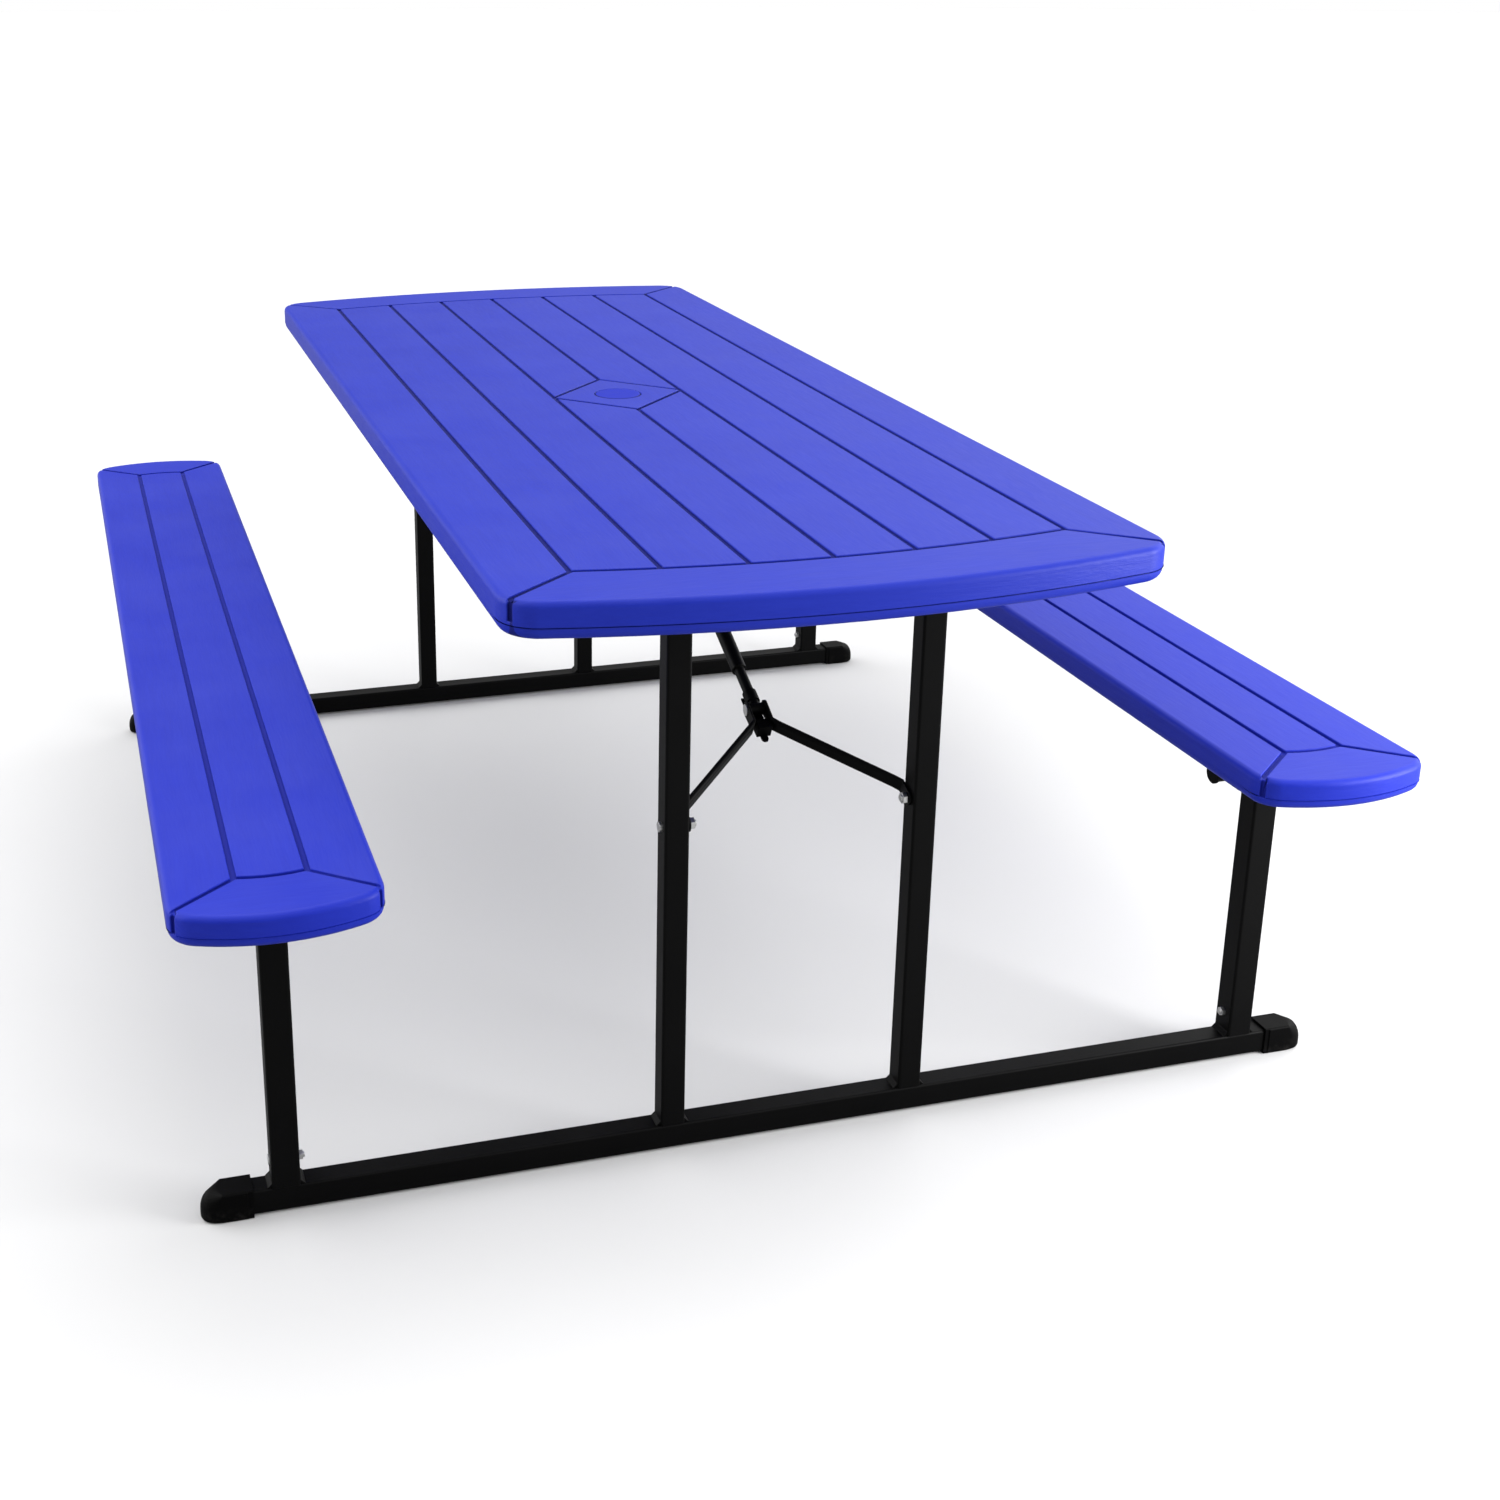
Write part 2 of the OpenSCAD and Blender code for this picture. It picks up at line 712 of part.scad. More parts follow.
module hinge_bracket() {
    bore = hinge_radius + run_clear;
    boss = bore + bracket_wall;
    web = hinge_drop - plate_gauge / 2;
    color("#16171b") translate([bracket_x, -frame_y, hinge_z]) rotate([90, 0, 90]) linear_extrude(bracket_width)
        difference() {
            union() {
                circle(r = boss);
                translate([-boss, 0]) square([2 * boss, web]);
                translate([-bracket_length / 2, hinge_drop - plate_gauge])
                    square([bracket_length, plate_gauge]);
            }
            circle(r = bore);
        }
}

module brace_anchor() {
    cheek = pin_head_radius + bracket_wall;
    half = cheek_x + plate_gauge;
    color("#16171b") translate([0, brace_run - frame_y, hinge_z]) {
        translate([-half, -bracket_length / 2, hinge_drop - plate_gauge])
            cube([2 * half, bracket_length, plate_gauge]);
        for (x = [-half, cheek_x]) {
            translate([x, 0, 0]) rotate([90, 0, 90]) linear_extrude(plate_gauge) difference() {
                union() {
                    circle(r = cheek);
                    translate([-cheek, 0]) square([2 * cheek, hinge_drop - plate_gauge / 2]);
                }
                circle(r = pin_radius + seat_clear);
            }
        }
    }
}

module anchor_pin() {
    half = cheek_x + plate_gauge + seat_clear;
    translate([0, brace_run - frame_y, hinge_z]) {
        across(0) cylinder(r = pin_radius, h = 2 * half + pin_head, center = true);
        across(half) cylinder(r = pin_head_radius, h = pin_head);
        across(-half - pin_head) cylinder(r = pin_head_radius, h = pin_head);
    }
}

// Seat guides and slide blocks

module slide_blocks() {
    neck_x = guide_half - slide_clear;
    neck = guide_gauge + 2 * slide_clear;
    collar = [block_collar, block_length + 2 * block_lip, block_height + 2 * block_lip];
    color("dimgray") translate([bench_leg_x, -frame_y, cross_z]) for (left = [0, 1]) {
        mirror([left, 0, 0]) difference() {
            union() {
                translate([neck_x - block_collar, -collar[1] / 2, -collar[2] / 2]) cube(collar);
                translate([neck_x + neck, -collar[1] / 2, -collar[2] / 2]) cube(collar);
                translate([neck_x - block_collar / 2, -block_length / 2, -block_height / 2])
                    cube([neck + block_collar, block_length, block_height]);
            }
            across(neck_x - over) cylinder(r = cross_radius + run_clear, h = neck + block_collar + 2 * over);
        }
    }
}

module guide() {
    slot = [guide_gauge + 2 * over, slot_travel + block_length, block_height + 2 * slide_clear];
    outer = guide_half + guide_gauge;
    y = -frame_y - block_length / 2 - slide_clear;
    length = slot[1] + 2 * guide_land;
    color("#16171b") translate([bench_leg_x, y, seat_under_z]) difference() {
        translate([0, length - guide_land, 0]) rotate([90, 0, 0]) linear_extrude(length) difference() {
            translate([-outer, -guide_depth]) square([2 * outer, guide_depth]);
            translate([-guide_half, -guide_depth - over]) square([2 * guide_half, guide_depth + over - guide_gauge]);
        }
        for (x = [-guide_half, guide_half]) {
            translate([x - slot[0] / 2, 0, -cross_drop - slot[2] / 2]) cube(slot);
        }
    }
}

// Knee braces, drawn along +Y from the lower pivot and then tilted up

module brace_frame() {
    translate([0, -frame_y, brace_pivot_height]) rotate([brace_angle, 0, 0]) children();
}

module cheek_profile(radius, reach) {
    difference() {
        union() {
            circle(r = radius);
            translate([0, -arm_height / 2]) square([reach, arm_height]);
            polygon([[0, -radius], [0, radius], [reach, arm_height / 2], [reach, -arm_height / 2]]);
        }
        circle(r = pin_radius + seat_clear);
    }
}

module oval(width, height) {
    straight = height - width;
    square([width, straight], center = true);
    for (side = [-1, 1]) {
        translate([0, side * straight / 2]) circle(r = width / 2);
    }
}

// A length of the oval tube that starts at a point of the brace plane.
module arm_bar(start, lean, width, height, length) {
    translate([start[0], start[1], 0]) rotate([90, 0, 90 + lean]) linear_extrude(length) oval(width, height);
}

// Where a flattened end turns into the oval tube of an arm.
module arm_neck(plate, ring, lean) {
    height = arm_height - 2 * seat_clear;
    hull($fn = hull_fn) {
        translate([plate[0], plate[1], -height / 2]) cube([arm_gauge, arm_gauge, height]);
        arm_bar(ring, lean, arm_width - 2 * seat_clear, height, arm_gauge);
    }
}

module brace_arm() {
    start = [arm_x - arm_gauge / 2, arm_flat];
    finish = [cheek_x + arm_gauge / 2, brace_lower - knee_flat];
    lean = atan2(finish[1] - start[1], finish[0] - start[0]);
    along = (finish - start) / norm(finish - start);
    lower = start + arm_width * along;
    upper = finish - (arm_width + arm_gauge) * along;
    color("#16171b") brace_frame() {
        translate([arm_x - arm_gauge, 0, 0]) rotate([90, 0, 90])
            linear_extrude(arm_gauge) cheek_profile(arm_foot_radius, arm_flat);
        translate([cheek_x, brace_lower, 0]) mirror([0, 1, 0]) rotate([90, 0, 90])
            linear_extrude(arm_gauge) cheek_profile(arm_cheek_radius, knee_flat);
        arm_neck([arm_x - arm_gauge, arm_flat - arm_gauge], lower, lean);
        arm_neck([cheek_x, finish[1]], upper, lean);
        arm_bar(lower + arm_gauge / 2 * along, lean, arm_width, arm_height, norm(upper - lower));
    }
}

module knee_pins() {
    color("silver") brace_frame() for (left = [0, 1]) {
        mirror([left, 0, 0]) translate([0, brace_lower, 0]) {
            across(eye_half + knee_clear / 2) cylinder(r = pin_radius, h = knee_clear / 2 + arm_gauge + pin_head);
            across(cheek_x + arm_gauge) cylinder(r = pin_head_radius, h = pin_head);
        }
    }
}

module brace_tube() {
    neck_end = brace_lower + brace_neck;
    color("#16171b") brace_frame() difference() {
        union() {
            translate([0, brace_lower, 0]) across(-eye_half) cylinder(r = eye_radius, h = 2 * eye_half);
            translate([0, brace_lower, 0]) rotate([-90, 0, 0])
                cylinder(r = brace_neck_radius, h = brace_neck + brace_wall);
            translate([0, neck_end, 0]) rotate([-90, 0, 0])
                cylinder(r = brace_radius, h = brace_upper - brace_neck + brace_tail);
        }
        translate([0, neck_end + brace_wall, 0]) rotate([-90, 0, 0])
            cylinder(r = brace_radius - brace_wall, h = brace_upper - brace_neck - 2 * brace_tail - brace_wall);
        translate([0, brace_lower, 0]) across(-eye_half - over)
            cylinder(r = pin_radius + run_clear, h = 2 * eye_half + 2 * over);
        translate([0, brace_span, 0]) across(-eye_half - over)
            cylinder(r = pin_radius + run_clear, h = 2 * eye_half + 2 * over);
    }
}

// Plan of the plate that passes under the knee and ends in the finger tab.
module lock_plan() {
    heel = lock_start + lock_length;
    toe = grip_start + grip_length;
    translate([-lock_half, -toe]) square([2 * lock_half, toe + heel]);
    translate([-tab_width / 2, tab_width / 2 - tab_reach]) square([tab_width, tab_reach - toe]);
    translate([0, tab_width / 2 - tab_reach]) circle(r = tab_width / 2);
}

module knee_lock() {
    bore = brace_neck_radius + run_clear;
    bottom = -plate_drop - lock_plate;
    color("#202226") brace_frame() translate([0, brace_lower, 0]) difference() {
        union() {
            translate([0, lock_start, 0]) rotate([-90, 0, 0]) cylinder(r = bore + lock_wall, h = lock_length);
            translate([0, 0, bottom]) linear_extrude(lock_plate) lock_plan();
            translate([-lock_half, -grip_start - grip_length, bottom])
                cube([2 * lock_half, grip_length, grip_rise - bottom]);
        }
        translate([0, lock_start - over, 0]) rotate([-90, 0, 0]) cylinder(r = bore, h = lock_length + 2 * over);
    }
}

tabletop();
place(true, false) hinge_bracket();  // front_left_hinge_bracket
place(false, false) hinge_bracket();  // front_right_hinge_bracket
place(true, true) hinge_bracket();  // rear_left_hinge_bracket
place(false, true) hinge_bracket();  // rear_right_hinge_bracket
place(false, false) brace_anchor();  // front_brace_anchor
place(false, true) brace_anchor();  // rear_brace_anchor
color("silver") for (rear = [false, true]) place(false, rear) anchor_pin();  // anchor_pins
umbrella_cap();
place(false, false) base_rail();  // front_base_rail
place(true, false) foot_cap();  // front_left_foot_cap
place(false, false) foot_cap();  // front_right_foot_cap
place(true, false) table_leg();  // front_left_table_leg
place(false, false) table_leg();  // front_right_table_leg
place(true, false) bench_leg();  // front_left_bench_leg
place(false, false) bench_leg();  // front_right_bench_leg
place(false, false) hinge_tube();  // front_hinge_tube
place(true, false) cross_tube();  // front_left_cross_tube
place(false, false) cross_tube();  // front_right_cross_tube
place(false, false) tube_plugs();  // front_tube_plugs
place(false, false) frame_bolts();  // front_frame_bolts
place(false, true) base_rail();  // rear_base_rail
place(true, true) foot_cap();  // rear_left_foot_cap
place(false, true) foot_cap();  // rear_right_foot_cap
place(true, true) table_leg();  // rear_left_table_leg
place(false, true) table_leg();  // rear_right_table_leg
place(true, true) bench_leg();  // rear_left_bench_leg
place(false, true) bench_leg();  // rear_right_bench_leg
place(false, true) hinge_tube();  // rear_hinge_tube
place(true, true) cross_tube();  // rear_left_cross_tube
place(false, true) cross_tube();  // rear_right_cross_tube
place(false, true) tube_plugs();  // rear_tube_plugs
place(false, true) frame_bolts();  // rear_frame_bolts
place(true, false) slide_blocks();  // front_left_slide_blocks
place(false, false) slide_blocks();  // front_right_slide_blocks
place(true, true) slide_blocks();  // rear_left_slide_blocks
place(false, true) slide_blocks();  // rear_right_slide_blocks
place(true, false) bench();  // left_bench
place(false, false) bench();  // right_bench
place(true, false) guide();  // left_front_guide
place(true, true) guide();  // left_rear_guide
place(false, false) guide();  // right_front_guide
place(false, true) guide();  // right_rear_guide
place(true, false) brace_arm();  // front_left_brace_arm
place(false, false) brace_arm();  // front_right_brace_arm
place(false, false) knee_pins();  // front_knee_pins
place(false, false) brace_tube();  // front_brace_tube
place(false, false) knee_lock();  // front_knee_lock
place(true, true) brace_arm();  // rear_left_brace_arm
place(false, true) brace_arm();  // rear_right_brace_arm
place(false, true) knee_pins();  // rear_knee_pins
place(false, true) brace_tube();  // rear_brace_tube
place(false, true) knee_lock();  // rear_knee_lock
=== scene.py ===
"""Folding picnic table with benches: looks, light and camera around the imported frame."""

import json
import math

import bmesh
import bpy
from mathutils import Matrix, Vector


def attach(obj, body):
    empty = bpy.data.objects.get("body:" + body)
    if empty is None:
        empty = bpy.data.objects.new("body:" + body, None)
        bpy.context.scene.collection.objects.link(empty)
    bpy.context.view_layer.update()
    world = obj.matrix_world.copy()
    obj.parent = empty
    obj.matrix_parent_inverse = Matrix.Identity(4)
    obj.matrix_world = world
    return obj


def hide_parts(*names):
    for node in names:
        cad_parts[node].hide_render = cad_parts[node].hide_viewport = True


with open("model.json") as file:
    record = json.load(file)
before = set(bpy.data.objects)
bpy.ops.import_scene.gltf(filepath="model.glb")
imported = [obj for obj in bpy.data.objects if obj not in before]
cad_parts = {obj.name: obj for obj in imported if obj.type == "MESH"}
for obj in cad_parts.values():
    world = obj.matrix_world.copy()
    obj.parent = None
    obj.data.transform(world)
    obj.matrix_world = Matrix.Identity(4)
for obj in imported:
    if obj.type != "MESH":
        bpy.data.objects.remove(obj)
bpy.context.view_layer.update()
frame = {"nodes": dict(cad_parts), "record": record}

NODES = frame["nodes"]
SIDES = (("left", -1), ("right", 1))

# The top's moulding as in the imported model. All sizes are in metres.
TABLE_WIDTH = 0.743
TABLE_LENGTH = 1.829
TABLE_TOP_Z = 0.737
TABLE_PLANK = 0.094
TABLE_PLANKS = 8
TABLE_BOW = 1.523
TABLE_BAND = 0.0995
TABLE_CORNER = 0.046

# The seats' mouldings
BENCH_X = 0.607
BENCH_LENGTH = 1.826
BENCH_WIDTH = 0.218
BENCH_TOP_Z = 0.453
BENCH_PLANK = 0.075
BENCH_PLANKS = 3
BENCH_BOW = 0.230
BENCH_BAND = 0.087
BENCH_CORNER = 0.036

# What the three mouldings share. The crown is the rounded border of the top face. The
# mitre groove meets the rim at a share of the corner's turn, and runs down it from under
# the rounded edge to the corner groove's depth.
CROWN = 0.0090
CORNER_SHARE = 0.46
GROOVE_WIDTH = 0.0064
CORNER_GROOVE = 0.0240
EDGE_ROUND = 0.0050

# The painted shade in the grooves: from above, the depth where it starts and the depth that
# it takes to be full, then the same two places behind the rim, and its half width there
SHADE_START = 0.0010
SHADE_RUN = 0.0012
RIM_SHADE_START = 0.0006
RIM_SHADE_FULL = 0.0016
RIM_GROOVE_HALF = GROOVE_WIDTH * 0.52

# How the copies of the mouldings are softened, angles in degrees
EDGE_LIP = 0.0012
MERGE_GAP = 0.00001
CUT_GAP = 0.000001
FLAT_ANGLE = 0.3
SHARP_ANGLE = 50
SMOOTH_ANGLE = 38

# The umbrella hole's cap
CAP_RADIUS = 0.033
CAP_DISC = 0.004
CAP_SKIRT = 0.013
CAP_WALL = 0.0024
CAP_ROUND = 0.0017
SKIRT_RADIUS = 0.0229
SKIRT_ROUND = 0.0006
CAP_STEPS = 4
CAP_SIDES = 96

# Where the screws go in: brackets and brace anchors under the top, guides under the seats
PLATE_Z = 0.692
FRAME_Y = 0.739
HINGE_X = 0.1805
ANCHOR_Y = 0.156
PLATE_STEP = 0.024
GUIDE_Z = 0.4145
GUIDE_X = 0.6025
GUIDE_ROWS = (0.745, 0.580, 0.415)
GUIDE_STEP = 0.020

# A screw: a washer disc and a hexagon, each with its lower and upper radius
WASHER_SIDES = 24
WASHER_RADII = (0.0055, 0.0060)
WASHER_DEPTH = 0.0012
WASHER_ROUND = 0.0003
HEXAGON_SIDES = 6
HEXAGON_RADII = (0.0040, 0.0042)
HEXAGON_DEPTH = 0.0024
HEXAGON_MIDDLE = 0.0023
HEXAGON_ROUND = 0.0004

# Moulded grain: changes per metre, how its lines wander, and its shift from piece to piece
GRAIN_ACROSS = 150.0
GRAIN_ALONG = 9.0
WANDER_ACROSS = 9.0
WANDER_ALONG = 5.0
WANDER_REACH = 3.0
PLANK_SHIFT = 1.37
END_SHIFT = 3.7
BAND_SHIFT = 11.0

# Turned rings on the cap and sliding marks on the slide blocks, changes per metre
CAP_RINGS = 900.0
DRAG_ACROSS = 900.0
DRAG_ALONG = 25.0

# Colours of each finish, from deep to light, of what lies on it, and of the painted shade in
# grooves and at the cap's rim
TABLE_TINTS = {
    "deep": (0.009, 0.022, 0.37, 1.0),
    "light": (0.013, 0.030, 0.43, 1.0),
    "groove": (0.003, 0.006, 0.12, 1.0),
}
BENCH_TINTS = {
    "deep": (0.008, 0.020, 0.40, 1.0),
    "light": (0.012, 0.028, 0.46, 1.0),
    "groove": (0.004, 0.010, 0.24, 1.0),
}
BLUE_DUST = (0.30, 0.33, 0.50, 1.0)
CAP_DEEP = (0.005, 0.016, 0.37, 1.0)
CAP_LIGHT = (0.008, 0.022, 0.43, 1.0)
CAP_RIM_SHADE = (0.002, 0.004, 0.09, 1.0)
COAT_DEEP = (0.0010, 0.0010, 0.0011, 1.0)
COAT_LIGHT = (0.0024, 0.0024, 0.0025, 1.0)
COAT_WORN = (0.030, 0.030, 0.029, 1.0)
COAT_DUST = (0.10, 0.095, 0.09, 1.0)
FOOT_DEEP = (0.0006, 0.0006, 0.0007, 1.0)
FOOT_LIGHT = (0.0016, 0.0016, 0.0017, 1.0)
FOOT_SCUFF = (0.050, 0.047, 0.044, 1.0)
FOOT_DUST = (0.08, 0.076, 0.072, 1.0)
SLIDE_DEEP = (0.030, 0.031, 0.033, 1.0)
SLIDE_LIGHT = (0.060, 0.060, 0.062, 1.0)
SLIDE_EDGE = (0.13, 0.13, 0.13, 1.0)
ZINC_DEEP = (0.50, 0.51, 0.52, 1.0)
ZINC_LIGHT = (0.78, 0.78, 0.76, 1.0)
ZINC_EDGE = (0.90, 0.90, 0.88, 1.0)
DUST_AMOUNT = 0.03

# The floor, and the darker grey that lights and reflections meet instead of it
FLOOR_RADIUS = 40.0
FLOOR_SIDES = 96
FLOOR_DEEP = (0.67, 0.67, 0.67, 1.0)
FLOOR_LIGHT = (0.70, 0.70, 0.70, 1.0)
FLOOR_FOR_LIGHT = (0.32, 0.32, 0.32, 1.0)
WHITE = (1.0, 1.0, 1.0, 1.0)

# Lamps
SUN_POWER = 0.75
SUN_SPREAD = 50
SUN_FROM = (0.10, 0.45, 0.88)
SUN_AIM = (0.0, 0.0, 0.0)
KEY_POWER = 56.0
KEY_SIZE = 1.1
KEY_FROM = (1.8, -1.7, 0.80)
KEY_AIM = (0.1, -0.6, 0.5)

# The room's glow by direction, from -1 to 1 along each axis: the sky brightens with
# height, and each side wall brightens from the front to the back
SKY_LOW = 0.08
SKY_HIGH = 1.05
SKY_START = 0.27
SKY_FULL = 0.64
LEFT_GLOW = 4.8
LEFT_DIM = 0.05
LEFT_START = -0.4
LEFT_FULL = 0.2
RIGHT_GLOW = 3.2
RIGHT_DIM = 0.15
RIGHT_START = -0.2
RIGHT_FULL = 0.3
SIDE_LIMIT = 2.8

# Camera of the photograph, angles in degrees, lens and sensor in millimetres
CAMERA_PLACE = (-0.7774, -2.6482, 1.3520)
CAMERA_TURN = 15.17
CAMERA_DIP = 18.34
CAMERA_ROLL = -0.15
CAMERA_LENS = 47.19
CAMERA_SENSOR = 36.0
CAMERA_SHIFT_X = 0.1145
CAMERA_SHIFT_Y = -0.105
CAMERA_REACH = 100.0


# Node trees


class Tree:
    """Adds the nodes of one material or group, with their values and links."""

    def __init__(self, tree):
        self.tree = tree
        tree.nodes.clear()

    def put(self, node, socket, value):
        """Link another node's socket to an input, or set a plain value on it."""
        target = node.inputs[socket]
        if isinstance(value, bpy.types.NodeSocket):
            self.tree.links.new(value, target)
        else:
            target.default_value = value

    def add(self, kind, settings=None, inputs=None):
        node = self.tree.nodes.new("ShaderNode" + kind)
        for name, value in (settings or {}).items():
            setattr(node, name, value)
        for socket, value in (inputs or {}).items():
            self.put(node, socket, value)
        return node

    def use(self, tree, inputs):
        """The outputs of a node group with its own values."""
        return self.add("Group", {"node_tree": tree}, inputs).outputs

    def math(self, operation, *values):
        node = self.add("Math", {"operation": operation}, dict(enumerate(values)))
        return node.outputs[0]

    def plus(self, first, second):
        return self.math("ADD", first, second)

    def minus(self, first, second):
        return self.math("SUBTRACT", first, second)

    def times(self, first, second):
        return self.math("MULTIPLY", first, second)

    def reach(self, first, second):
        """Distance from the middle, from two offsets at right angles."""
        return self.math("SQRT", self.plus(self.times(first, first), self.times(second, second)))

    def shares(self, start, *pairs):
        """A start value plus a share of each further value."""
        for value, share in pairs:
            start = self.math("MULTIPLY_ADD", value, share, start)
        return start

    def mix_values(self, factor, first, second):
        node = self.add("Mix", {"data_type": "FLOAT"}, {0: factor, 2: first, 3: second})
        return node.outputs[0]

    def mix_colours(self, factor, first, second):
        node = self.add("Mix", {"data_type": "RGBA"}, {0: factor, 6: first, 7: second})
        return node.outputs[2]

    def layers(self, colour, *coats):
        """A colour with further ones over it, each where its own mask says."""
        for mask, coat in coats:
            colour = self.mix_colours(mask, colour, coat)
        return colour

    def noise(self, vector, scale, detail=3.0, roughness=0.55):
        values = {"Vector": vector, "Scale": scale, "Detail": detail, "Roughness": roughness}
        return self.add("TexNoise", None, values).outputs["Fac"]

    def spread(self, value, low, high, start=0.0, finish=1.0):
        """A value between low and high, brought to between start and finish."""
        values = {0: value, 1: low, 2: high, 3: start, 4: finish}
        return self.add("MapRange", None, values).outputs[0]

    def split(self, vector):
        return self.add("SeparateXYZ", None, {0: vector}).outputs

    def join(self, x, y, z):
        return self.add("CombineXYZ", None, {0: x, 1: y, 2: z}).outputs[0]

    def face_up(self):
        """How far the surface faces up, from -1 to 1."""
        return self.split(self.add("NewGeometry").outputs["Normal"])[2]

    def place(self, centre=(0.0, 0.0, 0.0)):
        """Object coordinates, measured from a centre."""
        coordinates = self.add("TexCoord").outputs["Object"]
        values = {"Vector": coordinates, "Location": [-c for c in centre]}
        return self.add("Mapping", None, values).outputs[0]

    def bump(self, height, strength, distance, normal=None):
        """A bumpy normal, over the rounded edges' normal where that is given."""
        values = {"Strength": strength, "Distance": distance, "Height": height}
        if normal is not None:
            values["Normal"] = normal
        return self.add("Bump", None, values).outputs[0]


def group(name, inputs, outputs):
    """A shader node group with named sockets: (its tree, input sockets, output node)."""
    tree = bpy.data.node_groups.new(name, "ShaderNodeTree")
    work = Tree(tree)
    for label, kind in inputs:
        tree.interface.new_socket(label, in_out="INPUT", socket_type="NodeSocket" + kind)
    for label, kind in outputs:
        tree.interface.new_socket(label, in_out="OUTPUT", socket_type="NodeSocket" + kind)
    source = tree.nodes.new("NodeGroupInput").outputs
    target = tree.nodes.new("NodeGroupOutput")
    return work, source, target


def groove_mask(work, source, sides, z, radius, mitre):
    """1 in the grooves of the top face and where the mitre grooves run down the rim: where shade
    is painted.
    """
    side_x, side_y = sides
    inside = work.times(
        work.math("LESS_THAN", side_x, source["Inner Half Width"]),
        work.math("LESS_THAN", radius, source["Inner Radius"]),
    )
    low = work.spread(z, source["Lip"], work.minus(source["Lip"], SHADE_RUN))
    off_mitre = work.times(
        work.math("ABSOLUTE", work.minus(side_y, mitre)), source["Mitre Shrink"]
    )
    near = work.math("LESS_THAN", off_mitre, RIM_GROOVE_HALF)
    from_core = work.reach(
        work.math("MAXIMUM", work.minus(side_x, source["Core X"]), 0.0),
        work.math("MAXIMUM", work.minus(side_y, source["Core Y"]), 0.0),
    )
    sunk = work.spread(
        from_core, work.minus(source["Corner"], RIM_SHADE_START),
        work.minus(source["Corner"], RIM_SHADE_FULL),
    )
    below = work.math("LESS_THAN", z, work.minus(source["Lip"], EDGE_ROUND))
    above = work.math("GREATER_THAN", z, work.minus(source["Lip"], CORNER_GROOVE))
    corner = work.times(work.times(near, sunk), work.times(below, above))
    return work.math("MAXIMUM", work.times(inside, low), corner)


def plank_grain_group():
    """Moulded wood grain that follows planks and end bands, each with its own offset, and the mask
    of the grooves' painted shade.
    """
    sizes = (
        "Plank", "Shift", "Bow Centre", "Band Radius", "Outer", "Mitre Foot", "Mitre Slope",
        "Inner Half Width", "Inner Radius", "Lip", "Core X", "Core Y", "Corner", "Mitre Shrink",
    )
    inputs = [("Vector", "Vector")] + [(size, "Float") for size in sizes]
    outputs = [("Streaks", "Float"), ("Fine", "Float"), ("Tone", "Float"), ("Groove Shade", "Float")]
    work, source, target = group("plank_grain", inputs, outputs)
    x, y, z = work.split(source["Vector"])
    side_x = work.math("ABSOLUTE", x)
    side_y = work.math("ABSOLUTE", y)
    plank = work.math("FLOOR", work.plus(work.math("DIVIDE", x, source["Plank"]), source["Shift"]))
    from_bow = work.math("MAXIMUM", work.minus(side_y, source["Bow Centre"]), 0.0)
    radius = work.reach(x, from_bow)
    mitre = work.math(
        "MULTIPLY_ADD", work.minus(side_x, source["Outer"]), source["Mitre Slope"],
        source["Mitre Foot"],
    )
    band = work.times(
        work.math("GREATER_THAN", radius, source["Band Radius"]),
        work.math("GREATER_THAN", side_y, mitre),
    )
    end = work.times(work.math("SIGN", y), END_SHIFT)
    own = work.mix_values(band, work.times(plank, PLANK_SHIFT), work.plus(end, BAND_SHIFT))
    along = work.mix_values(band, y, x)
    across = work.mix_values(band, x, y)
    grain = work.join(
        work.shares(own, (across, GRAIN_ACROSS)),
        work.shares(own, (along, GRAIN_ALONG)),
        work.times(z, GRAIN_ACROSS),
    )
    path = work.join(work.times(across, WANDER_ACROSS), work.shares(own, (along, WANDER_ALONG)), z)
    wander = work.times(work.noise(path, scale=1.0, detail=1.0), WANDER_REACH)
    bent = work.add(
        "VectorMath", {"operation": "ADD"}, {0: grain, 1: work.join(wander, 0.0, 0.0)}
    ).outputs[0]
    tone = work.add("TexWhiteNoise", {"noise_dimensions": "1D"}, {"W": own})
    work.put(target, "Streaks", work.noise(bent, scale=1.0, detail=3.0, roughness=0.6))
    work.put(target, "Fine", work.noise(bent, scale=3.4, detail=2.0, roughness=0.5))
    work.put(target, "Tone", tone.outputs["Value"])
    work.put(target, "Groove Shade", groove_mask(work, source, (side_x, side_y), z, radius, mitre))
    return work.tree


def soft_edge_group():
    """The normal of rounded edges, and a mask that is 1 along them."""
    inputs = [("Radius", "Float")]
    outputs = [("Normal", "Vector"), ("Edge", "Float")]
    work, source, target = group("soft_edge", inputs, outputs)
    rounded = work.add("Bevel", {"samples": 6}, {"Radius": source["Radius"]}).outputs[0]
    flat = work.add("NewGeometry").outputs["Normal"]
    turned = work.add("VectorMath", {"operation": "DOT_PRODUCT"}, {0: rounded, 1: flat})
    work.put(target, "Normal", rounded)
    work.put(target, "Edge", work.spread(turned.outputs["Value"], 0.99, 0.80))
    return work.tree


def settled_dust_group():
    """A thin patchy film on surfaces that face up."""
    inputs = [("Vector", "Vector"), ("Amount", "Float")]
    outputs = [("Film", "Float")]
    work, source, target = group("settled_dust", inputs, outputs)
    facing = work.spread(work.face_up(), 0.3, 1.0)
    patches = work.noise(source["Vector"], scale=9.0, detail=5.0, roughness=0.6)
    patches = work.spread(patches, 0.35, 0.75)
    work.put(target, "Film", work.times(work.times(facing, patches), source["Amount"]))
    return work.tree


PLANK_GRAIN = plank_grain_group()
SOFT_EDGE = soft_edge_group()
SETTLED_DUST = settled_dust_group()


# Finishes


def new_material(name):
    material = bpy.data.materials.new(name)
    material.use_nodes = True
    return material, Tree(material.node_tree)


